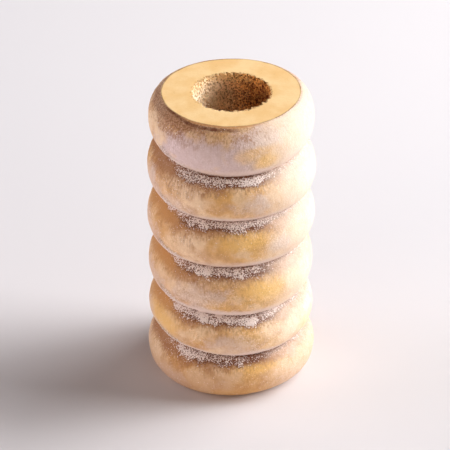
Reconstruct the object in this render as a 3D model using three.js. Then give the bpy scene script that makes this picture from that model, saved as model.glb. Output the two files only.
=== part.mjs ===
// A ridged baumkuchen standing on end: one log of sponge baked on a turning spit, six ridges tall,
// cut flat at both ends, with an open-crumbed bore where the spit was drawn out.
import * as THREE from "three";

// Driving dimensions in millimetres. Lists run from the base up, one entry for each ridge.
const RIDGE_HEIGHTS = [27.1, 26.8, 30.7, 29.6, 29.5, 29.4];
const CREST_RADII = [46.8, 46.2, 45.7, 46.0, 46.4, 45.3];
const GROOVE_RADIUS = 37.7;
const BORE_RADIUS = 21.0;

// A ridge swells as an arc of this half angle, which leaves a V groove where two ridges meet
const SWELL_ANGLE = THREE.MathUtils.degToRad(78);

// Batter that set while it turned is a little out of round, and its grooves wander up and down
const CREST_LOBE = 0.5;
const GROOVE_LOBE = 0.8;
const GROOVE_WANDER = 0.7;

// The waves of that unevenness: how many go round the log, how many radians each turns from one ridge
// to the next, and its share of the whole
const LOBE_WAVES = [
  { count: 2, twist: 1.89, share: 0.5 },
  { count: 3, twist: -1.35, share: 0.5 },
];
const WANDER_WAVES = [
  { count: 1, twist: 2.1, share: 0.6 },
  { count: 2, twist: -1.3, share: 0.4 },
];

// Torn crumb along the bore: craters go out into the sponge and crumbs stand in.
// A higher bias leaves fewer deep craters.
const CRATER_DEPTH = 1.4;
const CRUMB_HEIGHT = 0.4;
const CRATER_BIAS = 2;
const CRUMB_SEED = 1907;

// Facets round the log, up one ridge, across a cut face and down the bore
const SEGMENTS = 60;
const SWELL_STEPS = 10;
const FACE_STEPS = 2;
const BORE_STEPS = 26;

const SPONGE_COLOUR = 0xd2a871;
const SPONGE_ROUGHNESS = 0.85;

const RIDGE_COUNT = RIDGE_HEIGHTS.length;
const LOG_HEIGHT = RIDGE_HEIGHTS.reduce((sum, height) => sum + height, 0);
const { lerp, seededRandom } = THREE.MathUtils;

// Adds up waves round the log, from -1 to 1. Level counts ridges up from the base.
function unevenness(waves, angle, level) {
  return waves.reduce((sum, { count, twist, share }) => {
    return sum + share * Math.cos(count * angle + twist * level);
  }, 0);
}

// The outer wall, from the edge of the base to the edge of the top
function wallStations() {
  const stations = [];
  let foot = 0;
  RIDGE_HEIGHTS.forEach((height, ridge) => {
    const isTop = ridge === RIDGE_COUNT - 1;
    const lastStep = isTop ? SWELL_STEPS : SWELL_STEPS - 1;
    for (let step = 0; step <= lastStep; step++) {
      const swell = SWELL_ANGLE * (2 * step / SWELL_STEPS - 1);
      const climb = (1 + Math.sin(swell) / Math.sin(SWELL_ANGLE)) / 2;
      const fall = (1 - Math.cos(swell)) / (1 - Math.cos(SWELL_ANGLE));
      const level = ridge + climb;
      stations.push({
        radius: lerp(CREST_RADII[ridge], GROOVE_RADIUS, fall),
        height: foot + height * climb,
        level,
        lobe: lerp(CREST_LOBE, GROOVE_LOBE, fall),
        wander: GROOVE_WANDER * Math.min(level, RIDGE_COUNT - level, 1),
      });
    }
    foot += height;
  });
  return stations;
}

// A cut face, from one edge to the other, without the edges themselves
function faceStations(fromRadius, toRadius, height) {
  const stations = [];
  for (let step = 1; step < FACE_STEPS; step++) {
    stations.push({ radius: lerp(fromRadius, toRadius, step / FACE_STEPS), height });
  }
  return stations;
}

// The bore wall, from the top down, with shorter steps near the ends where the crumb can be seen
function boreStations() {
  const stations = [];
  seededRandom(CRUMB_SEED);
  for (let step = 0; step <= BORE_STEPS; step++) {
    const height = LOG_HEIGHT * (1 + Math.cos(Math.PI * step / BORE_STEPS)) / 2;
    const tears = Array.from({ length: SEGMENTS }, () => {
      return lerp(-CRUMB_HEIGHT, CRATER_DEPTH, seededRandom() ** CRATER_BIAS);
    });
    stations.push({ radius: BORE_RADIUS, height, tears });
  }
  return stations;
}

function baumkuchenGeometry() {
  const stations = [
    ...wallStations(),
    ...faceStations(GROOVE_RADIUS, BORE_RADIUS, LOG_HEIGHT),
    ...boreStations(),
    ...faceStations(BORE_RADIUS, GROOVE_RADIUS, 0),
  ];
  stations.push(stations[0]);

  const profile = stations.map(({ radius, height }) => new THREE.Vector2(radius, height));
  const geometry = new THREE.LatheGeometry(profile, SEGMENTS);

  // The lathe turns column by column about Y: each corner is made uneven and the log is stood up along Z
  const position = geometry.attributes.position;
  for (let corner = 0; corner < position.count; corner++) {
    const column = Math.floor(corner / stations.length) % SEGMENTS;
    const angle = 2 * Math.PI * column / SEGMENTS;
    const station = stations[corner % stations.length];
    let { radius, height } = station;
    if (station.lobe) {
      radius += station.lobe * unevenness(LOBE_WAVES, angle, station.level);
      height += station.wander * unevenness(WANDER_WAVES, angle, station.level);
    }
    if (station.tears) {
      radius += station.tears[column];
    }
    position.setXYZ(corner, radius * Math.cos(angle), radius * Math.sin(angle), height);
  }
  geometry.computeVertexNormals();
  return geometry;
}

function buildBaumkuchen() {
  const sponge = new THREE.MeshStandardMaterial({
    color: SPONGE_COLOUR,
    roughness: SPONGE_ROUGHNESS,
    metalness: 0,
  });
  const log = new THREE.Mesh(baumkuchenGeometry(), sponge);
  log.name = "baumkuchen";

  const group = new THREE.Group();
  group.add(log);
  return group;
}

export default buildBaumkuchen();
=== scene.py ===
"""A sugared baumkuchen log: its skin, crumb and sugar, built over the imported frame."""
import math
from functools import partial
from types import SimpleNamespace

import bpy
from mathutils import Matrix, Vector


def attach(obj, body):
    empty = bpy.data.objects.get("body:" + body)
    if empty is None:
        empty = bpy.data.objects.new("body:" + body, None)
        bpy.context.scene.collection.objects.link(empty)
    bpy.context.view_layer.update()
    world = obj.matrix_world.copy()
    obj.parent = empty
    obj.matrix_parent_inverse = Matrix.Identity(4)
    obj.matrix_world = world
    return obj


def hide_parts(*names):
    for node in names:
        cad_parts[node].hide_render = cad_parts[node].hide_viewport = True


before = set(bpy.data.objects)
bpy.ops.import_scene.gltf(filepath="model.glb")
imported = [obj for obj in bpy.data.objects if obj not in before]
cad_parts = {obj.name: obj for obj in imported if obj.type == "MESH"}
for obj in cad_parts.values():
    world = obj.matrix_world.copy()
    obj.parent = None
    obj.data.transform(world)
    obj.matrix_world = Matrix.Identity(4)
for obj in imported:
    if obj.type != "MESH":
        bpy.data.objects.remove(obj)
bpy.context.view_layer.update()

# The log in metres. Lists run from the base up, one entry for each ridge.
RIDGE_HEIGHTS = [0.0271, 0.0268, 0.0307, 0.0296, 0.0295, 0.0294]
CREST_RADII = [0.0468, 0.0462, 0.0457, 0.0460, 0.0464, 0.0453]
RIDGE_COUNT = len(RIDGE_HEIGHTS)
LOG_HEIGHT = sum(RIDGE_HEIGHTS)
BODY_SIZES = {
    "Groove Radius": 0.0377,
    "Bore Radius": 0.0210,
    "Swell Angle": math.radians(78),
    "Crest Lobe": 0.0005,
    "Groove Lobe": 0.0008,
    "Groove Wander": 0.0007,
    "Lump Height": 0.0003,
    "Dent Depth": 0.00012,
    "Frost Thickness": 0.0005,
    "Crater Depth": 0.0012,
    "Crumb Height": 0.0003,
    "Crater Width": 0.0013,
    "Tooth Depth": 0.0012,
    "Tooth Width": 0.0024,
    "Chip Depth": 0.0009,
    "Chip Reach": 0.0020,
    "Columns": 320,
    "Rows per Ridge": 22,
    "Face Rows": 12,
    "Bore Rows": 146,
}
# Bore rows crowd towards both ends, where they can be seen; 1 would space them evenly
BORE_CROWDING = 0.45
# How far down the bore its torn relief starts to fade and is gone, in metres
DEEP_BORE = (0.025, 0.045)
# Rows of a cut face crowd towards the bore in the same way
FACE_CROWDING = 1.6
# The wall of a crater from its floor to its brim, in widths from its middle
CRATER_WALL = (0.05, 0.6)
# Zones of the body are welded where points lie this close, in metres
WELD = 1e-5
# Edges that bend by more than this stay crisp, in radians
CRISP_EDGE = 0.7

# Waves of unevenness: how many go round, radians of turn from ridge to ridge, share of the whole
LOBE_WAVES = [(2, 1.89, 0.5), (3, -1.35, 0.5)]
WANDER_WAVES = [(1, 2.1, 0.6), (2, -1.3, 0.4)]

# Noises that shape the body and lay out its sugar: cells in a metre, detail
LUMP_NOISE = (90.0, 2.0)
DENT_NOISE = (260.0, 2.0)
CRUMB_NOISE = (900.0, 2.0)
GRAIN_NOISE = (700.0, 2.0)
RAGGED_NOISE = (180.0, 3.0)
PATCHY_NOISE = (45.0, 2.0)

# Films of dried sugar: degrees round from +X, level counted in ridges, half sizes of both, strength
SUGAR_FILMS = [
    (250, 5.40, 54, 0.60, 1.1),
    (290, 5.80, 30, 0.26, 0.90),
    (32, 5.86, 44, 0.34, 0.90),
    (286, 4.48, 24, 0.36, 0.60),
    (222, 4.24, 28, 0.34, 0.55),
    (305, 3.50, 18, 0.32, 0.60),
    (246, 2.46, 36, 0.46, 0.62),
    (254, 2.12, 36, 0.16, 1.0),
    (272, 1.42, 34, 0.42, 0.52),
    (288, 1.18, 24, 0.16, 0.70),
    (262, 0.42, 26, 0.30, 0.35),
    (220, 0.26, 34, 0.34, 0.75),
    (40, 3.40, 34, 0.34, 0.60),
    (75, 1.60, 30, 0.32, 0.50),
    (120, 4.70, 36, 0.36, 0.65),
    (160, 2.50, 30, 0.32, 0.50),
    (130, 0.60, 30, 0.30, 0.45),
    (60, 5.40, 34, 0.34, 0.60),
    (335, 5.20, 30, 0.34, 0.60),
]
# One more film on the left of each ridge but the highest, each turned a little from the last: partly sugar
# film, partly a painted highlight along the left edges
SUGAR_FILMS += [(176 + ridge * 47 % 24, ridge + 0.42, 32, 0.44, 0.65) for ridge in range(RIDGE_COUNT - 1)]
# Smooth clots where the sugar in a groove was wet, in the same way
SUGAR_CLOTS = [
    (285, 4.92, 16, 0.08, 0.5),
    (243, 3.93, 14, 0.08, 0.6),
    (251, 2.92, 22, 0.13, 1.5),
    (280, 2.92, 16, 0.10, 0.6),
    (266, 1.92, 32, 0.12, 1.0),
    (256, 0.93, 12, 0.07, 0.6),
    (60, 1.95, 10, 0.07, 1.0),
    (110, 3.95, 9, 0.06, 1.0),
    (150, 2.95, 8, 0.06, 0.9),
    (20, 4.95, 9, 0.06, 0.9),
]
# Spots where the skin baked golden, and brown scorches, in the same way
GOLDEN_SPOTS = [
    (296, 5.36, 14, 0.24, 0.7),
    (280, 5.50, 12, 0.20, 0.5),
    (264, 4.66, 16, 0.16, 0.3),
    (280, 3.66, 34, 0.30, 0.7),
    (294, 2.62, 26, 0.38, 0.9),
    (212, 1.60, 26, 0.50, 0.8),
    (290, 0.80, 26, 0.16, 0.9),
    (270, 0.20, 50, 0.22, 0.5),
    (30, 4.50, 24, 0.36, 0.4),
    (70, 2.40, 26, 0.34, 0.7),
    (110, 5.40, 22, 0.30, 0.45),
    (140, 1.50, 26, 0.34, 0.7),
    (160, 3.60, 22, 0.34, 0.6),
    (340, 1.40, 24, 0.30, 0.5),
]
SCORCHES = [
    (216, 5.75, 28, 0.16, 0.8),
    (240, 5.66, 14, 0.14, 0.5),
    (246, 4.74, 24, 0.14, 0.5),
    (230, 4.62, 22, 0.22, 0.65),
    (238, 3.58, 20, 0.24, 0.6),
    (226, 1.86, 14, 0.12, 0.6),
    (220, 0.86, 18, 0.14, 0.6),
    (100, 4.70, 20, 0.16, 0.6),
    (50, 1.80, 18, 0.14, 0.6),
    (150, 2.80, 16, 0.14, 0.6),
]
# Stretches of groove that hold little sugar, in the same way
SPARSE_STRETCHES = [
    (308, 2.94, 24, 0.20, 0.60),
    (296, 0.94, 26, 0.20, 0.55),
    (90, 3.94, 22, 0.18, 0.80),
    (130, 1.94, 26, 0.18, 0.75),
    (40, 0.94, 22, 0.18, 0.75),
    (156, 4.94, 20, 0.18, 0.70),
]
# Levels, counted in ridges, over which the highest groove begins and the lowest ends
HIGHEST_GROOVE = (4.4, 4.6)
LOWEST_GROOVE = (1.2, 1.4)

# Which way the side with the most of each finish faces, in degrees round from +X
SIDES = {
    # This side takes a dust of sugar and a pale coat of painted light, facing the lamps
    "dusted": 335,
    "golden": 292,
    # The top ridge's shaded side, where its film is tinted cooler as painted shade
    "cool film": 245,
    # This side is also darkened as painted shade
    "browned": 238,
    "bare groove": 190,
    "charred rim": 214,
    "dark rim line": 240,
    "toasted rim": 260,
    # This side of the bore is also darkened as painted shade, on the wall that faces away from the lamps
    "brown and shaded bore": 20,
}

# Crystals of sugar in metres; the thinnest frost that holds any, and the frost that holds the most
GRAIN_SIZES = {
    "Width": 0.00052,
    "Height": 0.00045,
    "Spacing": 0.0005,
    "Most per Area": 2.2e6,
    "Thinnest Frost": 0.0,
    "Thickest Frost": 0.8,
    "Map Cells Across": 160,
    "Seed": 11,
}
CLUMP_SIZES = {
    "Width": 0.0009,
    "Height": 0.0007,
    "Spacing": 0.0012,
    "Most per Area": 0.5e6,
    "Thinnest Frost": 0.25,
    "Thickest Frost": 0.8,
    "Map Cells Across": 100,
    "Seed": 7,
}
# How far crystals lean either way in radians, and the least and most of their size that they keep
CRYSTAL_LEAN = 0.5
CRYSTAL_SHARE = (0.5, 1.3)
LEAN_SEED = 3
SHARE_SEED = 5

# The layout that finishes are baked to, and where each zone of the body lies on it, from and to
LAYOUT = "OFBake"
WALL_STRIP = (0.0, 0.60)
BORE_STRIP = (0.61, 0.83)
FACE_STRIPS = [(0.84, 0.91), (0.92, 0.99)]

# Noises in the skin's colour: cells in a metre, detail, roughness
SKIN_NOISES = {
    "broad": (32.0, 2.0, 0.5),
    "patch": (60.0, 2.0, 0.5),
    "mottle": (90.0, 3.0, 0.55),
    "blotch": (300.0, 2.0, 0.55),
    "grit": (1100.0, 2.0, 0.6),
    "speck": (1500.0, 1.0, 0.5),
}
# Streaks of batter that ran: a noise as above, drawn out along the log
STREAK_NOISE = (1000.0, 3.0, 0.6)
STREAK_SCALE = (1.0, 1.0, 0.14)
# Noises in the crumb's colour, in the same way
FINE_NOISE = (900.0, 3.0, 0.6)
CUT_NOISE = (70.0, 3.0, 0.55)
TORN_NOISE = (120.0, 2.0, 0.5)
PORES_PER_METRE = 420.0
# Noise in the colour of the crystals, in the same way
SUGAR_NOISE = (600.0, 1.0, 0.5)

# Colours of the finishes, as screen values from 0 to 255
COLOURS = {
    "pale skin": (244, 212, 180),
    "tan skin": (222, 168, 106),
    "honey skin": (238, 188, 114),
    "brown mottle": (206, 152, 104),
    "pale mottle": (244, 214, 182),
    "sugar film": (229, 206, 196),
    # Sugar film tinted cooler as painted shade
    "shaded sugar film": (222, 200, 204),
    "golden spot": (245, 196, 116),
    # Darker at the foot, partly painted shade
    "brown and shaded foot": (190, 138, 92),
    "run batter": (180, 126, 86),
    # Browning towards the grooves, partly painted shade
    "brown and shaded skin": (170, 116, 78),
    "tanned skin": (224, 164, 100),
    # Dark brown skin in the grooves, partly painted shade
    "groove": (106, 60, 47),
    "scorch": (168, 116, 86),
    # Sugar on the lips, paled as a painted highlight
    "sugared lip highlight": (238, 214, 206),
    # A dust of sugar, paler as painted light on the side that faces the lamps
    "sugar dust with painted light": (242, 220, 204),
    "char": (132, 84, 62),
    "pale char": (198, 150, 122),
    "toasted rim": (196, 138, 82),
    "dark rim line": (108, 58, 38),
    "fine sugar": (251, 236, 231),
    # Painted shade for the crease under each lip
    "crease": (84, 50, 42),
    "pale cut": (250, 211, 154),
    "deep cut": (242, 193, 128),
    "cut fleck": (228, 176, 116),
    "cut pore": (206, 150, 92),
    "bitten edge": (150, 92, 42),
    "cut rim": (132, 84, 48),
    "pale torn crumb": (248, 214, 174),
    "palest torn crumb": (255, 240, 216),
    "dark torn crumb": (132, 66, 18),
    "brown torn crumb": (244, 170, 90),
    # Torn crumb darkened as painted shade deep in the bore
    "deep torn crumb with painted shade": (112, 50, 8),
    # Golden crumb by the cuts, partly painted light
    "golden torn edge with painted light": (252, 204, 124),
    # Painted shade in the crumb's holes
    "painted shade in holes": (56, 24, 4),
    "white sugar": (254, 245, 241),
    "pink sugar": (239, 217, 210),
    "floor": (222, 215, 217),
}

# Camera fitted to the photograph, in metres, degrees and millimetres
CAMERA_PLACE = (-0.0033, -1.38, 0.9453)
CAMERA_TILT = 31.84
CAMERA_LENS = 233.9
CAMERA_SENSOR = 36.0

# Soft lamps: degrees round from +X and up from level, metres away and across, watts, colour
KEY_LAMP = dict(away=2.0, width=1.35, colour=(0.96, 0.99, 1.0), spread=90, aim=(0.0, 0.45, 0.05))
LAMPS = {
    "key": dict(turn=9, tilt=24, watts=15.8, **KEY_LAMP),
    "high key": dict(turn=30, tilt=45, watts=8.8, **KEY_LAMP),
    "left back fill": dict(turn=172, tilt=12, away=1.5, width=1.0, watts=10.8, colour=(0.92, 0.92, 1.0)),
    "front fill": dict(turn=232, tilt=10, away=1.8, width=1.0, watts=9.6, colour=(1.0, 0.82, 0.64)),
    "right fill": dict(turn=300, tilt=12, away=1.8, width=1.0, watts=4.0, colour=(1.0, 0.92, 0.82)),
}
SKY_COLOUR = (1.0, 1.0, 1.0, 1.0)
SKY_STRENGTH = 0.04
# The floor reaches this far each way from the log, in metres
FLOOR_REACH = 3.0


class Wire:
    """A node's output in an expression: arithmetic on wires adds Math nodes to their tree."""

    def __init__(self, socket):
        self.socket = socket
        self.tree = socket.id_data

    @classmethod
    def node(cls, tree, kind, settings=None, sockets=None, output=0):
        """Adds a node: its settings are set first, then its sockets get values or links.

        The setting choices is how many values an Index Switch picks from.
        """
        node = tree.nodes.new(kind)
        for name, value in (settings or {}).items():
            if name == "choices":
                while len(node.index_switch_items) < value:
                    node.index_switch_items.new()
            else:
                setattr(node, name, value)
        for key, value in (sockets or {}).items():
            for item in value if isinstance(value, list) else [value]:
                if isinstance(item, Wire):
                    tree.links.new(item.socket, node.inputs[key])
                else:
                    node.inputs[key].default_value = item
        return cls(node.outputs[output])

    def also(self, output):
        """Another output of the same node."""
        return Wire(self.socket.node.outputs[output])

    def math(self, operation, *others):
        sockets = dict(enumerate((self, *others)))
        return Wire.node(self.tree, "ShaderNodeMath", {"operation": operation}, sockets)

    def __add__(self, other):
        return self.math("ADD", other)

    def __radd__(self, other):
        return self.math("ADD", other)

    def __sub__(self, other):
        return self.math("SUBTRACT", other)

    def __rsub__(self, other):
        return self.math("MULTIPLY_ADD", -1.0, other)

    def __mul__(self, other):
        return self.math("MULTIPLY", other)

    def __rmul__(self, other):
        return self.math("MULTIPLY", other)

    def __truediv__(self, other):
        return self.math("DIVIDE", other)

    def __rtruediv__(self, other):
        return self.math("POWER", -1.0) * other

    def __pow__(self, other):
        return self.math("POWER", other)

    def smooth(self, low, high):
        """Eases from 0 at low to 1 at high."""
        sockets = {"Value": self, "From Min": low, "From Max": high}
        return Wire.node(self.tree, "ShaderNodeMapRange", {"interpolation_type": "SMOOTHSTEP"}, sockets)


def tint(name):
    """A named colour as Blender's linear colour."""
    def linear(value):
        value /= 255
        return value / 12.92 if value <= 0.04045 else ((value + 0.055) / 1.055) ** 2.4
    red, green, blue = COLOURS[name]
    return (linear(red), linear(green), linear(blue), 1.0)


def noise(tree, scale, detail, roughness=0.5, vector=None):
    """Soft noise that wavers round one half."""
    sockets = {"Scale": scale, "Detail": detail, "Roughness": roughness}
    if vector is not None:
        sockets["Vector"] = vector
    return Wire.node(tree, "ShaderNodeTexNoise", None, sockets)


def cells(tree, scale, vector=None):
    """Distance from the middle of the nearest cell."""
    sockets = {"Scale": scale}
    if vector is not None:
        sockets["Vector"] = vector
    return Wire.node(tree, "ShaderNodeTexVoronoi", None, sockets)


def blend(tree, factor, first, second, mode="MIX"):
    """Mixes two colours."""
    settings = {"data_type": "RGBA", "blend_type": mode}
    return Wire.node(tree, "ShaderNodeMix", settings, {0: factor, 6: first, 7: second}, output=2)


def lay(tree, colour, layers):
    """Lays more colours over one, each as far as its own cover says."""
    for cover, over in layers:
        colour = blend(tree, cover, colour, over)
    return colour


def vector_math(tree, operation, first, second, output=0):
    return Wire.node(tree, "ShaderNodeVectorMath", {"operation": operation}, {0: first, 1: second}, output)


def outward(tree, place):
    """The level direction from the axis of the log through a place."""
    flat = vector_math(tree, "MULTIPLY", place, (1.0, 1.0, 0.0))
    return vector_math(tree, "NORMALIZE", flat, (0.0, 0.0, 0.0))


def facing(tree, place, side):
    """1 where the log faces the way of a named side, -1 where it faces away."""
    turn = math.radians(SIDES[side])
    way = (math.cos(turn), math.sin(turn), 0.0)
    return vector_math(tree, "DOT_PRODUCT", outward(tree, place), way, "Value")


def new_shape_tree(name, sizes):
    """A Geometry Nodes tree with a named input for each size, and those inputs as wires."""
    tree = bpy.data.node_groups.new(name, "GeometryNodeTree")
    tree.interface.new_socket("Geometry", in_out="INPUT", socket_type="NodeSocketGeometry")
    for label, value in sizes.items():
        kind = "NodeSocketInt" if isinstance(value, int) else "NodeSocketFloat"
        tree.interface.new_socket(label, in_out="INPUT", socket_type=kind)
    tree.interface.new_socket("Geometry", in_out="OUTPUT", socket_type="NodeSocketGeometry")
    entry = tree.nodes.new("NodeGroupInput")
    return tree, {socket.name: Wire(socket) for socket in entry.outputs if socket.name}


def finish_shape_tree(tree, geometry, material=None):
    """Ends a tree with real meshes and, where one is given, a material for all of it."""
    geometry = Wire.node(tree, "GeometryNodeRealizeInstances", None, {"Geometry": geometry})
    if material:
        sockets = {"Geometry": geometry, "Material": material}
        geometry = Wire.node(tree, "GeometryNodeSetMaterial", None, sockets)
    leave = tree.nodes.new("NodeGroupOutput")
    tree.links.new(geometry.socket, leave.inputs[0])


def grow(name, mesh, tree, sizes):
    """Runs a shape tree on a mesh and keeps the result as a plain mesh object."""
    piece = bpy.data.objects.new(name, mesh)
    bpy.context.scene.collection.objects.link(piece)
    modifier = piece.modifiers.new(name, "NODES")
    modifier.node_group = tree
    for item in tree.interface.items_tree:
        if item.in_out == "INPUT" and item.name in sizes:
            modifier[item.identifier] = sizes[item.name]
    depsgraph = bpy.context.evaluated_depsgraph_get()
    made = bpy.data.meshes.new_from_object(piece.evaluated_get(depsgraph))
    piece.modifiers.clear()
    piece.data = made
    while None in list(made.materials):
        made.materials.pop(index=list(made.materials).index(None))
    return piece


def keep(tree, geometry, **values):
    """Stores a number for each point under each name."""
    for name, value in values.items():
        sockets = {"Geometry": geometry, "Name": name, "Value": value}
        geometry = Wire.node(tree, "GeometryNodeStoreNamedAttribute", {"data_type": "FLOAT"}, sockets)
    return geometry


def kept(tree, name, kind="FLOAT"):
    """What was stored under a name."""
    return Wire.node(tree, "GeometryNodeInputNamedAttribute", {"data_type": kind}, {"Name": name})


def keep_layout(tree, mesh, layout):
    """Stores where each corner lies on the flat layout that the finish is baked to."""
    settings = {"data_type": "FLOAT2", "domain": "CORNER"}
    sockets = {"Geometry": mesh, "Name": LAYOUT, "Value": layout}
    return Wire.node(tree, "GeometryNodeStoreNamedAttribute", settings, sockets)


def waves(angle, level, terms):
    """A sum of waves round the log, each turned further at each ridge."""
    total = 0.0
    for count, twist, share in terms:
        phase = count * angle + twist * level
        total = total + share * phase.math("COSINE")
    return total


def choose(tree, number, values):
    """Picks the value whose place in the list is the given number."""
    sockets = {"Index": number}
    sockets.update({place + 1: value for place, value in enumerate(values)})
    settings = {"data_type": "FLOAT", "choices": len(values)}
    return Wire.node(tree, "GeometryNodeIndexSwitch", settings, sockets)


def unrolled_grid(tree, columns, rows, strip):
    """A grid with its turn round the log as an angle and its way across from 0 to 1."""
    sockets = {"Size X": 1.0, "Size Y": 1.0, "Vertices X": columns + 1, "Vertices Y": rows + 1}
    mesh = Wire.node(tree, "GeometryNodeMeshGrid", None, sockets)
    layout = vector_math(tree, "MULTIPLY", mesh.also("UV Map"), (1.0, strip[1] - strip[0], 0.0))
    layout = vector_math(tree, "ADD", layout, (0.0, strip[0], 0.0))
    mesh = keep_layout(tree, mesh, layout)
    place = Wire.node(tree, "GeometryNodeInputPosition")
    across = Wire.node(tree, "ShaderNodeSeparateXYZ", None, {"Vector": place})
    angle = (across + 0.5) * math.tau
    return mesh, angle, across.also("Y") + 0.5


def roll_up(tree, mesh, angle, radius, height, material):
    """Bends a grid round the log and gives it its material."""
    parts = {"X": radius * angle.math("COSINE"), "Y": radius * angle.math("SINE"), "Z": height}
    place = Wire.node(tree, "ShaderNodeCombineXYZ", None, parts)
    mesh = Wire.node(tree, "GeometryNodeSetPosition", None, {"Geometry": mesh, "Position": place})
    return Wire.node(tree, "GeometryNodeSetMaterial", None, {"Geometry": mesh, "Material": material})


def ridged_wall(tree, size, material):
    """The baked outside: an arc for each ridge, meeting the next in a V groove."""
    rows = size["Rows per Ridge"] * RIDGE_COUNT
    mesh, angle, up = unrolled_grid(tree, size["Columns"], rows, WALL_STRIP)
    climbed = up * RIDGE_COUNT
    ridge = climbed.math("FLOOR").math("MINIMUM", RIDGE_COUNT - 1)
    span = size["Swell Angle"]
    swell = ((climbed - ridge) * 2.0 - 1.0) * span
    climb = (1.0 + swell.math("SINE") / span.math("SINE")) * 0.5
    fall = (1.0 - swell.math("COSINE")) / (1.0 - span.math("COSINE"))
    level = ridge + climb
    feet = [sum(RIDGE_HEIGHTS[:index]) for index in range(RIDGE_COUNT)]
    crest = choose(tree, ridge, CREST_RADII)
    lobe = size["Crest Lobe"] + (size["Groove Lobe"] - size["Crest Lobe"]) * fall
    radius = crest + (size["Groove Radius"] - crest) * fall + lobe * waves(angle, level, LOBE_WAVES)
    from_end = level.math("MINIMUM", RIDGE_COUNT - level)
    wander = size["Groove Wander"] * from_end.math("MINIMUM", 1.0)
    height = choose(tree, ridge, feet) + choose(tree, ridge, RIDGE_HEIGHTS) * climb
    height = height + wander * waves(angle, level, WANDER_WAVES)
    mesh = keep(tree, mesh, around=angle, level=level, climb=climb, fall=fall, wall=1.0, inset=0.0,
                torn=0.0, chip=0.0)
    return roll_up(tree, mesh, angle, radius, height, material)


def cut_face(tree, size, end, material):
    """The cut face at the base, end 0, or at the top, end 1."""
    mesh, angle, across = unrolled_grid(tree, size["Columns"], size["Face Rows"], FACE_STRIPS[end])
    inset = 1.0 - (1.0 - across) ** FACE_CROWDING
    level = float(end * RIDGE_COUNT)
    rim = size["Groove Radius"] + size["Groove Lobe"] * waves(angle, level, LOBE_WAVES)
    radius = rim + (size["Bore Radius"] - rim) * inset
    to_bore = (radius - size["Bore Radius"]) / size["Chip Reach"]
    mesh = keep(tree, mesh, around=angle, level=level, climb=float(end), fall=1.0, wall=0.0, inset=inset,
                torn=inset.smooth(0.92, 1.0), chip=1.0 - to_bore.smooth(0.0, 1.0))
    if end == 0:
        mesh = Wire.node(tree, "GeometryNodeFlipFaces", None, {"Mesh": mesh})
    return roll_up(tree, mesh, angle, radius, end * LOG_HEIGHT, material)


def bore_wall(tree, size, material):
    """The wall of the bore, torn near both ends and plain in the deep middle."""
    mesh, angle, down = unrolled_grid(tree, size["Columns"], size["Bore Rows"], BORE_STRIP)
    side = 1.0 - 2.0 * down
    reach = side.math("ABSOLUTE") ** BORE_CROWDING
    height = (1.0 + side.math("SIGN") * reach) * (LOG_HEIGHT / 2)
    from_end = (1.0 - reach) * (LOG_HEIGHT / 2)
    mesh = keep(tree, mesh, around=angle, level=0.0, climb=0.0, fall=0.0, wall=0.0, inset=1.0,
                torn=1.0 - from_end.smooth(*DEEP_BORE),
                chip=1.0 - (from_end / size["Chip Reach"]).smooth(0.0, 1.0))
    return roll_up(tree, mesh, angle, size["Bore Radius"], height, material)


def ragged_patches(patches, angle, level, ragged):
    """Spots with ragged soft edges, the strongest wherever they overlap."""
    cover = 0.0
    for degrees, at_level, half_turn, half_level, strength in patches:
        turn = (angle - math.radians(degrees) + math.pi).math("FLOORED_MODULO", math.tau) - math.pi
        turn = turn / math.radians(half_turn)
        rise = (level - at_level) / half_level
        reach = 1.0 - (turn * turn + rise * rise).math("SQRT") + ragged
        spot = strength * reach.smooth(0.0, 0.8)
        cover = spot.math("MAXIMUM", cover)
    return cover


def groove_sugar(tree, level, ragged, patchy, sparse, clotted):
    """How thick sugar grains lie in and by the grooves, and how thick they clotted."""
    fall = kept(tree, "fall")
    shoulder = kept(tree, "climb").smooth(0.45, 0.55)
    place = Wire.node(tree, "GeometryNodeInputPosition")
    bare_side = facing(tree, place, "bare groove")
    bare = bare_side.smooth(0.70, 0.97)
    barest = (bare_side + 0.2 * (patchy - 0.5)).smooth(0.92, 0.99)
    lipped = bare_side.smooth(0.50, 0.97)
    dusted = (facing(tree, place, "dusted") + 0.5 * (patchy - 0.5)).smooth(0.70, 1.0)
    from_end = level.math("MINIMUM", RIDGE_COUNT - level).smooth(0.42, 0.62)
    held = from_end * (1.0 - 0.9 * barest) * (1.0 - sparse)
    clotting = (patchy + 0.5 * ragged).smooth(0.40, 0.58)
    open_groove = 0.25 + 0.75 * level.smooth(*HIGHEST_GROOVE) + 0.5 * (1.0 - level.smooth(*LOWEST_GROOVE))

    above = fall + 0.5 * ragged - 0.40 * dusted - 0.45 * bare
    above = above.smooth(0.14, 0.58)
    below = fall + 0.25 * ragged - 0.40 * dusted + 0.55 * lipped
    below = below.smooth(0.50, 0.68) * (0.4 + 0.25 * lipped)
    # Less sugar by the crease, so the painted shade there shows
    crease = (fall + 0.9 * (patchy - 0.5)).smooth(0.82, 0.92) * open_groove
    frost = (below + (above - below) * shoulder) * (0.55 + 0.45 * clotting) * held
    frost = frost * (1.0 - 0.75 * crease * shoulder)
    packed = (fall + 0.4 * ragged + 0.8 * (patchy - 0.5)).smooth(0.50, 0.80)
    packed = packed * shoulder * (1.25 - open_groove)
    clot = (clotted + 0.3 * packed * above) * held
    return frost, clot


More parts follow.
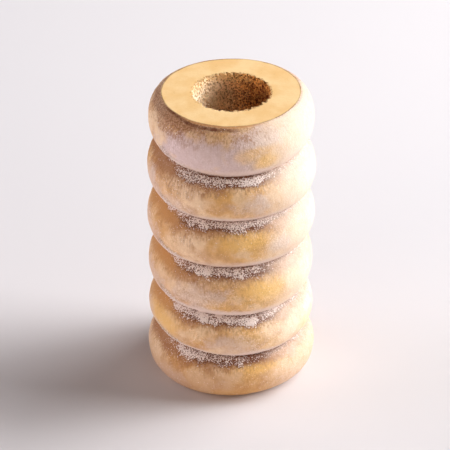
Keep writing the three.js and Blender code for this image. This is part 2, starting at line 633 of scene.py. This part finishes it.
def frosting(tree):
    """How much frost, clotted sugar, sugar film, gold and scorching each point of the wall has."""
    level = kept(tree, "level")
    ragged = noise(tree, *RAGGED_NOISE) - 0.5
    patchy = noise(tree, *PATCHY_NOISE)
    soft = 0.5 * ragged + 1.2 * (patchy - 0.5)
    spots = partial(ragged_patches, angle=kept(tree, "around"), level=level)
    sparse = spots(SPARSE_STRETCHES, ragged=soft)
    clotted = spots(SUGAR_CLOTS, ragged=1.6 * ragged + patchy - 0.5)
    frost, clot = groove_sugar(tree, level, ragged, patchy, sparse, clotted)
    amounts = {
        "frost": frost,
        "clot": clot,
        "film": spots(SUGAR_FILMS, ragged=soft),
        "gold": spots(GOLDEN_SPOTS, ragged=soft),
        "scorch": spots(SCORCHES, ragged=soft),
    }
    wall = kept(tree, "wall")
    return {name: amount * wall for name, amount in amounts.items()}


def joined_zones(tree, size, crust, crumb, torn_crumb):
    """The wall, both cut faces and the bore as one closed skin, crisp along the outer rims."""
    node = partial(Wire.node, tree)
    zones = [
        ridged_wall(tree, size, crust),
        cut_face(tree, size, 0, crumb),
        cut_face(tree, size, 1, crumb),
        bore_wall(tree, size, torn_crumb),
    ]
    body = node("GeometryNodeJoinGeometry", None, {"Geometry": zones})
    body = keep(tree, body, **frosting(tree))
    body = node("GeometryNodeMergeByDistance", None, {"Geometry": body, "Distance": WELD})
    gentle = node("GeometryNodeInputMeshEdgeAngle").math("LESS_THAN", CRISP_EDGE)
    smooth = gentle.math("MAXIMUM", kept(tree, "torn").math("GREATER_THAN", 0.1))
    sockets = {"Geometry": body, "Shade Smooth": smooth}
    return node("GeometryNodeSetShadeSmooth", {"domain": "EDGE"}, sockets)


def skin_relief(tree, size):
    """How far lumps, dents and sugar lift the wall."""
    lump = (noise(tree, *LUMP_NOISE) - 0.5) * 2.0 * size["Lump Height"]
    dent = (noise(tree, *DENT_NOISE) - 0.5) * 2.0 * size["Dent Depth"]
    grainy = kept(tree, "frost") * (noise(tree, *GRAIN_NOISE) + 0.3)
    sugar = (grainy + kept(tree, "clot")) * size["Frost Thickness"]
    return (lump + dent) * kept(tree, "wall") + sugar


def crags(tree, size, pit):
    """How far craters reach into torn crumb, and crumbs stand out of it."""
    crag = pit * (size["Crater Depth"] + size["Crumb Height"]) - size["Crumb Height"]
    crag = crag + (noise(tree, *CRUMB_NOISE) - 0.5) * size["Crumb Height"]
    return kept(tree, "torn") * crag


def teeth(tree, size):
    """How far the edge between a cut face and the bore wanders in and out."""
    tooth = cells(tree, 1.0 / size["Tooth Width"]).smooth(0.1, 0.6) - 0.5
    return kept(tree, "chip") * tooth * size["Tooth Depth"]


def body_tree(crust, crumb, torn_crumb):
    """The whole cake: its zones joined, then moved out and in by their relief."""
    tree, size = new_shape_tree("baumkuchen body", BODY_SIZES)
    node = partial(Wire.node, tree)
    body = joined_zones(tree, size, crust, crumb, torn_crumb)
    pit = 1.0 - cells(tree, 1.0 / size["Crater Width"]).smooth(*CRATER_WALL)
    body = keep(tree, body, pit=pit * kept(tree, "torn"))

    place = node("GeometryNodeInputPosition")
    out = skin_relief(tree, size) + crags(tree, size, pit) + teeth(tree, size)
    offset = node("ShaderNodeVectorMath", {"operation": "SCALE"}, {0: outward(tree, place), "Scale": out})
    height = node("ShaderNodeSeparateXYZ", None, {"Vector": place}, "Z")
    into_log = (LOG_HEIGHT / 2 - height).math("SIGN") * kept(tree, "chip") * pit * size["Chip Depth"]
    chip = node("ShaderNodeCombineXYZ", None, {"Z": into_log})
    offset = vector_math(tree, "ADD", offset, chip)
    body = node("GeometryNodeSetPosition", None, {"Geometry": body, "Offset": offset})
    finish_shape_tree(tree, body)
    return tree


def strewn_points(tree, size):
    """Numbered points over a mesh, closest where its frost is thick, and how the mesh lies under each."""
    node = partial(Wire.node, tree)
    sockets = {
        "Mesh": size["Geometry"],
        "Distance Min": size["Spacing"],
        "Density Max": size["Most per Area"],
        "Density Factor": kept(tree, "frost").smooth(size["Thinnest Frost"], size["Thickest Frost"]),
        "Seed": size["Seed"],
    }
    points = node("GeometryNodeDistributePointsOnFaces", {"distribute_method": "POISSON"}, sockets)
    lying = points.also("Rotation")
    sockets = {"Geometry": points, "Name": "*"}
    points = node("GeometryNodeRemoveAttribute", {"pattern_mode": "WILDCARD"}, sockets)
    return keep(tree, points, grain=node("GeometryNodeInputIndex")), lying


def any_vector(tree, least, most, seed):
    """A vector drawn at random for each point, between two others."""
    sockets = {0: least, 1: most, "Seed": seed}
    return Wire.node(tree, "FunctionNodeRandomValue", {"data_type": "FLOAT_VECTOR"}, sockets)


def set_crystals(tree, size, points, lying, crystal):
    """A crystal on each point, leaning and stretched its own way."""
    node = partial(Wire.node, tree)
    kind, facets = crystal
    crystal = node(kind, None, {"Radius": 0.5, **facets})
    crystal = keep_layout(tree, crystal, crystal.also("UV Map"))
    least_lean = (-CRYSTAL_LEAN, -CRYSTAL_LEAN, 0.0)
    most_lean = (CRYSTAL_LEAN, CRYSTAL_LEAN, math.tau)
    lean = any_vector(tree, least_lean, most_lean, LEAN_SEED)
    turn = node("FunctionNodeRotateRotation", {"rotation_space": "LOCAL"}, {0: lying, 1: lean})
    least, most = CRYSTAL_SHARE
    share = any_vector(tree, (least, least, least), (most, most, most), SHARE_SEED)
    parts = {"X": size["Width"], "Y": size["Width"], "Z": size["Height"]}
    scale = vector_math(tree, "MULTIPLY", share, node("ShaderNodeCombineXYZ", None, parts))
    sockets = {"Points": points, "Instance": crystal, "Rotation": turn, "Scale": scale}
    grains = node("GeometryNodeInstanceOnPoints", None, sockets)
    return node("GeometryNodeRealizeInstances", None, {"Geometry": grains})


def deal_map_cells(tree, size, grains):
    """Gives each crystal a cell of the layout for itself, by its number."""
    across = size["Map Cells Across"]
    column = kept(tree, "grain").math("FLOORED_MODULO", across)
    row = (kept(tree, "grain") / across).math("FLOOR")
    corner = Wire.node(tree, "ShaderNodeCombineXYZ", None, {"X": column, "Y": row})
    layout = vector_math(tree, "ADD", kept(tree, LAYOUT, "FLOAT_VECTOR"), corner)
    grains = keep_layout(tree, grains, vector_math(tree, "DIVIDE", layout, across))
    return Wire.node(tree, "GeometryNodeRemoveAttribute", None, {"Geometry": grains, "Name": "grain"})


def scatter_tree(name, sizes, crystal, material):
    """Crystals strewn over a mesh, each with its own cell of the layout."""
    tree, size = new_shape_tree(name, sizes)
    points, lying = strewn_points(tree, size)
    grains = set_crystals(tree, size, points, lying, crystal)
    finish_shape_tree(tree, deal_map_cells(tree, size, grains), material)
    return tree


def new_finish(name):
    """A material with its tree, its shader's sockets and its wire of Object coordinates."""
    material = bpy.data.materials.new(name)
    material.use_nodes = True
    tree = material.node_tree
    shader = tree.nodes["Principled BSDF"]
    place = Wire.node(tree, "ShaderNodeTexCoord", None, None, "Object")
    return material, tree, shader, place


def attribute(tree, name):
    """What the body keeps under a name, read in a finish."""
    return Wire.node(tree, "ShaderNodeAttribute", {"attribute_name": name}, None, "Fac")


def plug(tree, shader, **sockets):
    """Sets or links a shader's sockets, with _ for each space in their names."""
    for name, value in sockets.items():
        socket = shader.inputs[name.replace("_", " ")]
        if isinstance(value, Wire):
            tree.links.new(value.socket, socket)
        else:
            socket.default_value = value


def bump(tree, height, strength, distance):
    """A normal that leans as a relief would, this many metres high."""
    sockets = {"Height": height, "Strength": strength, "Distance": distance}
    return Wire.node(tree, "ShaderNodeBump", None, sockets, "Normal")


def crust_guides(tree, place):
    """What the layers of the crust share: noises, what the body keeps for each point, and sides."""
    on = SimpleNamespace(tree=tree, facing=partial(facing, tree, place))
    for name, look in SKIN_NOISES.items():
        setattr(on, name, noise(tree, *look, place))
    stretched = Wire.node(tree, "ShaderNodeMapping", None, {"Vector": place, "Scale": STREAK_SCALE})
    on.streak = noise(tree, *STREAK_NOISE, stretched)
    on.uneven = (on.grit - 0.5) * 0.5 + (on.blotch - 0.5) * 0.4 + (on.mottle - 0.5) * 0.4
    for name in ("fall", "level", "frost", "clot", "film", "gold", "scorch"):
        setattr(on, name, attribute(tree, name))
    on.shoulder = attribute(tree, "climb").smooth(0.4, 0.6)
    on.at_top = on.level.smooth(RIDGE_COUNT - 0.55, RIDGE_COUNT - 0.4)
    on.bare_side = on.facing("bare groove")
    on.bare = on.bare_side.smooth(0.70, 0.97)
    # A dust of sugar and painted light on the side that faces the lamps, more towards the top
    on.dusted = on.facing("dusted").smooth(0.55, 1.0) * (0.5 + 0.25 * on.level.smooth(0.5, 5.5))
    return on


def baked_layers(on):
    """Batter baked tan in broad patches, honey brown on one side, and mottled."""
    golden = on.facing("golden").smooth(0.55, 1.0) * 0.5
    return [
        (on.broad.smooth(0.36, 0.64), tint("tan skin")),
        ((golden + on.broad - 0.5).smooth(0.0, 1.0), tint("honey skin")),
        (on.mottle.smooth(0.45, 0.65) * 0.6, tint("brown mottle")),
        ((1.0 - on.mottle).smooth(0.45, 0.65) * 0.6, tint("pale mottle")),
    ]


def film_layers(on):
    """Films of dried sugar, tinted cooler on the shaded side of the top ridge as painted shade, and golden
    spots over them.
    """
    # The top ridge's shaded side, where the film is tinted cooler as painted shade
    highest = on.level.smooth(RIDGE_COUNT - 1.1, RIDGE_COUNT - 0.8)
    highest = highest * on.facing("cool film").smooth(0.65, 0.95)
    dried = blend(on.tree, highest, tint("sugar film"), tint("shaded sugar film"))
    return [
        ((on.film + on.uneven).smooth(0.0, 0.9) * 0.9, dried),
        ((on.gold + 0.4 * on.uneven).smooth(0.0, 1.0) * 0.9, tint("golden spot")),
    ]


def grained(on, skin):
    """The skin lightened and darkened in fine grains, stronger in patches and warmer where dark."""
    grain = (on.blotch - 0.5) * 0.4 + (on.grit - 0.5) * 0.5 + (on.speck - 0.5) * 0.4
    grain = (0.5 + on.patch.smooth(0.46, 0.60)) * grain * (1.0 - 0.4 * on.gold)
    shades = {"Red": 1.0 + 0.75 * grain, "Green": 1.0 + grain, "Blue": 1.0 + 1.2 * grain}
    shade = Wire.node(on.tree, "ShaderNodeCombineColor", None, shades)
    return blend(on.tree, 1.0, skin, shade, "MULTIPLY")


def browning_and_shade_layers(on):
    """Browner and darker at the foot and towards the grooves, partly as painted shade, and combed where the
    batter ran.
    """
    # Darker towards the foot, partly browning and partly painted shade
    foot = (1.0 - on.level.smooth(0.3, 1.0)) * 0.6
    combed = on.streak.smooth(0.46, 0.66) * (0.10 + 0.50 * on.shoulder * on.fall.smooth(0.02, 0.20))
    combed = combed * (1.0 - 0.6 * on.gold)
    # Browner towards the grooves and on one side, partly painted shade under the ridge above
    browned = on.fall * (0.3 + 0.8 * on.shoulder) + (on.mottle - 0.5) * 0.5 + (on.streak - 0.5) * 0.3
    browned = browned + 0.12 * on.facing("browned").smooth(0.75, 1.0) * on.shoulder
    browned = browned.smooth(0.10, 0.50) * (1.0 - 0.7 * on.at_top)
    tanned = on.bare_side.smooth(0.60, 0.95) * on.level.smooth(0.8, 1.6) * (1.0 - on.level.smooth(4.2, 4.8))
    tanned = tanned * (0.2 + 0.4 * on.shoulder * on.fall.smooth(0.05, 0.4))
    return [
        (foot, tint("brown and shaded foot")),
        (combed, tint("run batter")),
        (browned * 0.8, tint("brown and shaded skin")),
        (tanned, tint("tanned skin")),
    ]


def groove_layers(on):
    """Dark brown skin in the grooves under their sugar, deepened as painted shade between the grains, and
    scorches.
    """
    # Dark brown skin in the grooves, partly painted shade between and under the sugar grains
    dark = on.fall + 0.3 * on.bare * (1.0 - on.shoulder) + (on.grit - 0.5) * 0.5 + (on.blotch - 0.5) * 0.4
    dark = dark.smooth(0.20, 0.44) * (1.0 - on.at_top)
    dark = dark * (0.15 * on.shoulder + (0.5 + 0.19 * on.shoulder) * on.frost.smooth(0.02, 0.35))
    dark = dark * (1.0 - 0.7 * on.bare_side.smooth(0.62, 0.92) * on.shoulder)
    scorched = on.scorch - 0.25 + 2.0 * on.uneven + (on.streak - 0.5) * 1.2
    return [
        (dark, tint("groove")),
        (scorched.smooth(0.0, 0.8) * 0.75, tint("scorch")),
    ]


def dust_and_light_layers(on):
    """Sugar dust on the lip of each ridge over a groove, paled there as a painted highlight on its downward
    face, and all over one side, paler there as painted light where the lamps fall.
    """
    # The lip's sugar, paled as a painted highlight on a face that looks down
    lip = (1.0 - on.shoulder) * (on.fall + 0.10 * on.bare).smooth(0.10, 0.46) * on.level.smooth(0.45, 0.6)
    lip = lip * (0.4 + 0.5 * on.broad.smooth(0.35, 0.6))
    # A dust of sugar over one side, paler still as painted light where the lamps fall
    dust = (on.dusted + 0.7 * on.uneven).smooth(0.0, 1.0) * (0.9 - 0.6 * on.gold)
    return [
        ((lip + 0.7 * on.uneven).smooth(0.0, 0.9) * 0.9, tint("sugared lip highlight")),
        (dust, tint("sugar dust with painted light")),
    ]


def rim_layers(on):
    """Round the top cut: charred on one side, toasted along the edge, with a thin dark line below it."""
    rough = (on.mottle - 0.5) * 0.4 + (on.streak - 0.5) * 0.5 + (on.grit - 0.5) * 0.5
    charred = on.fall - 0.86 + 0.74 * on.facing("charred rim").smooth(0.3, 1.1) + rough
    charred = charred.smooth(0.0, 0.24) * on.at_top * 0.65
    char = blend(on.tree, on.grit.smooth(0.4, 0.62), tint("char"), tint("pale char"))
    front = on.facing("toasted rim").smooth(0.75, 0.97)
    toasted = (on.fall + 0.15 * rough).smooth(0.80, 0.92) * front * on.at_top
    past_line = on.fall - 0.93 + 0.20 * front + 0.14 * rough
    line = past_line.smooth(-0.18, -0.05) * (1.0 - past_line.smooth(0.04, 0.14))
    line = line * on.facing("dark rim line").smooth(0.70, 0.95) * on.at_top
    return [
        (charred, char),
        (toasted * 0.7, tint("toasted rim")),
        (line * (0.55 + 0.4 * on.blotch.smooth(0.4, 0.6)), tint("dark rim line")),
    ]


def sugar_layers(on):
    """Sugar too fine for the mesh, thickest by the grooves, and a dark line of painted shade in the bare
    crease deep in them.
    """
    salt = (on.speck - 0.5) * 2.6 + on.grit - 0.5 + 0.73 * (on.frost - 0.78)
    salt = salt + 0.45 * on.clot + 0.25 * on.scorch
    # A dark line of painted shade in the crease, where the lip of the ridge above overhangs
    crease = on.fall.smooth(0.74, 0.86) * (1.0 - on.frost.smooth(0.2, 0.6)) * on.shoulder * (1.0 - on.at_top)
    crease = crease * (0.7 - 0.5 * on.clot)
    crease = crease * (1.0 - 0.7 * on.dusted.smooth(0.2, 0.7)) * (1.0 - 0.8 * on.bare)
    crease = crease * (0.25 + 0.5 * on.blotch.smooth(0.42, 0.60) + 0.25 * on.level.smooth(*HIGHEST_GROOVE))
    return [
        (salt.smooth(0.02, 0.14) * 0.95, tint("fine sugar")),
        (crease, tint("crease")),
    ]


def crust_finish():
    """Baked skin, laid up from the colour of the batter to the sugar that lies on it, with painted shade and
    painted light among its layers.
    """
    material, tree, shader, place = new_finish("baked crust")
    on = crust_guides(tree, place)
    skin = lay(tree, tint("pale skin"), baked_layers(on) + film_layers(on))
    skin = grained(on, skin)
    skin = lay(tree, skin, browning_and_shade_layers(on) + groove_layers(on))
    skin = lay(tree, skin, dust_and_light_layers(on) + rim_layers(on) + sugar_layers(on))
    relief = on.streak * 0.3 + on.blotch * 0.5 + on.grit * (0.5 + on.frost) + on.speck * 0.4
    plug(tree, shader, Base_Color=skin, Roughness=0.9, Specular_IOR_Level=0.3,
         Normal=bump(tree, relief, strength=0.7, distance=0.0005))
    return material


def crumb_finish():
    """Crumb cut with a knife: smooth and pale, faintly mottled, with a thin brown rim."""
    material, tree, shader, place = new_finish("cut crumb")
    fine = noise(tree, *FINE_NOISE, place)
    broad = noise(tree, *CUT_NOISE, place)
    pores = 1.0 - cells(tree, PORES_PER_METRE, place).smooth(0.05, 0.22)
    inset = attribute(tree, "inset")
    bites = (inset + (fine - 0.5) * 0.2).smooth(0.92, 1.0)
    shaded_brown_side = facing(tree, place, "brown and shaded bore").smooth(-0.8, 0.2)
    rim = 1.0 - (inset + (fine - 0.5) * 0.04).smooth(0.012, 0.045)
    flesh = lay(tree, tint("pale cut"), [
        (broad.smooth(0.3, 0.7), tint("deep cut")),
        (fine.smooth(0.4, 0.75) * 0.2, tint("cut fleck")),
        (pores * broad.smooth(0.45, 0.6) * 0.3, tint("cut pore")),
        (bites * (0.1 + 0.6 * shaded_brown_side), tint("bitten edge")),
        (rim * (0.4 + 0.5 * broad.smooth(0.4, 0.6)), tint("cut rim")),
    ])
    plug(tree, shader, Base_Color=flesh, Roughness=0.9,
         Normal=bump(tree, fine * 0.6 - pores * 0.4, strength=0.4, distance=0.0003))
    return material


def torn_crumb_finish():
    """Crumb torn open where the spit was drawn: full of holes darkened as painted shade, more brown and
    darker on one side and deeper in, partly as painted shade, and golden by the cuts, partly as painted
    light.
    """
    material, tree, shader, place = new_finish("torn crumb")
    fine = noise(tree, *FINE_NOISE, place)
    broad = noise(tree, *TORN_NOISE, place)
    deep = 1.0 - attribute(tree, "torn")
    crater = 1.0 - cells(tree, 1.0 / BODY_SIZES["Crater Width"], place).smooth(*CRATER_WALL)
    pit = attribute(tree, "pit") + deep * crater
    # The side whose wall faces away from the lamps: more brown there, partly as painted shade
    shaded_brown_side = facing(tree, place, "brown and shaded bore")
    toasted = (shaded_brown_side + (broad - 0.5) * 0.6).smooth(-0.65, 1.0)
    tone = (fine * 0.8 + broad * 0.2).smooth(0.42, 0.58)
    pale = blend(tree, tone, tint("pale torn crumb"), tint("palest torn crumb"))
    brown = blend(tree, tone, tint("dark torn crumb"), tint("brown torn crumb"))
    # Golden by the cut ends, partly painted light where light reaches into the bore
    height = Wire.node(tree, "ShaderNodeSeparateXYZ", None, {"Vector": place}, "Z")
    from_end = height.math("MINIMUM", LOG_HEIGHT - height)
    by_edge = 1.0 - (from_end + (broad - 0.5) * 0.006).smooth(0.001, 0.008)
    golden = by_edge * (1.0 - shaded_brown_side.smooth(0.55, 0.95))
    # Dark holes: painted shade in the crumb's pits
    holes = (pit + (fine - 0.5) * 0.6).smooth(0.35, 0.65) * (0.2 + 0.75 * toasted)
    flesh = lay(tree, pale, [
        (toasted, brown),
        # Darker deeper in on that side, as painted shade
        (shaded_brown_side.smooth(0.5, 1.0) * (1.0 - by_edge) * 0.45, tint("deep torn crumb with painted shade")),
        (golden * 0.4, tint("golden torn edge with painted light")),
        (holes, tint("painted shade in holes")),
    ])
    plug(tree, shader, Base_Color=flesh, Roughness=0.95,
         Normal=bump(tree, fine, strength=0.8, distance=0.0005))
    return material


def sugar_finish():
    """White crystals, some faintly pink."""
    material, tree, shader, place = new_finish("sugar crystals")
    tone = noise(tree, *SUGAR_NOISE, place)
    white = blend(tree, tone, tint("white sugar"), tint("pink sugar"))
    plug(tree, shader, Base_Color=white, Roughness=0.45)
    return material


def build_cake():
    """The body, then both kinds of sugar strewn over it."""
    tree = body_tree(crust_finish(), crumb_finish(), torn_crumb_finish())
    body = grow("baumkuchen_body", bpy.data.meshes.new("body"), tree, BODY_SIZES)
    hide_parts("baumkuchen")
    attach(body, "root")

    sugar = sugar_finish()
    grain = "GeometryNodeMeshUVSphere", {"Segments": 4, "Rings": 2}
    clump = "GeometryNodeMeshIcoSphere", {"Subdivisions": 1}
    kinds = [
        ("sugar_grains", GRAIN_SIZES, grain),
        ("sugar_clumps", CLUMP_SIZES, clump),
    ]
    for name, sizes, crystal in kinds:
        tree = scatter_tree(name, sizes, crystal, sugar)
        piece = grow(name, body.data.copy(), tree, sizes)
        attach(piece, "root")


def build_floor():
    """A plain pale floor to stand on, which is no part of the cake."""
    material, tree, shader, _ = new_finish("floor")
    plug(tree, shader, Base_Color=tint("floor"), Roughness=0.7)
    mesh = bpy.data.meshes.new("floor")
    half = FLOOR_REACH
    corners = [(-half, -half, 0), (half, -half, 0), (half, half, 0), (-half, half, 0)]
    mesh.from_pydata(corners, [], [(0, 1, 2, 3)])
    mesh.materials.append(material)
    floor = bpy.data.objects.new("floor", mesh)
    bpy.context.scene.collection.objects.link(floor)


def add_lamp(name, turn, tilt, away, width, watts, colour, spread=180, aim=(0.0, 0.0, LOG_HEIGHT / 2)):
    """A round soft lamp, placed from the middle of the log and turned towards its aim."""
    lamp = bpy.data.lights.new(name, "AREA")
    lamp.shape = "DISK"
    lamp.size = width
    lamp.energy = watts
    lamp.color = colour
    lamp.spread = math.radians(spread)
    level_reach = away * math.cos(math.radians(tilt))
    holder = bpy.data.objects.new(name, lamp)
    holder.location = (
        level_reach * math.cos(math.radians(turn)),
        level_reach * math.sin(math.radians(turn)),
        LOG_HEIGHT / 2 + away * math.sin(math.radians(tilt)),
    )
    way = Vector(aim) - holder.location
    holder.rotation_euler = way.to_track_quat("-Z", "Y").to_euler()
    bpy.context.scene.collection.objects.link(holder)


def light_scene():
    """The lamps, and a faint white sky."""
    for name, lamp in LAMPS.items():
        add_lamp(name, **lamp)
    world = bpy.data.worlds.new("studio")
    world.use_nodes = True
    background = world.node_tree.nodes["Background"]
    background.inputs["Color"].default_value = SKY_COLOUR
    background.inputs["Strength"].default_value = SKY_STRENGTH
    bpy.context.scene.world = world
    bpy.context.scene.view_settings.view_transform = "Standard"


def place_camera():
    """A camera that looks along +Y and down at the log."""
    camera = bpy.data.cameras.new("camera")
    camera.lens = CAMERA_LENS
    camera.sensor_width = CAMERA_SENSOR
    holder = bpy.data.objects.new("camera", camera)
    holder.location = CAMERA_PLACE
    holder.rotation_euler = (math.radians(90 - CAMERA_TILT), 0.0, 0.0)
    bpy.context.scene.collection.objects.link(holder)
    bpy.context.scene.camera = holder


place_camera()
build_cake()
build_floor()
light_scene()
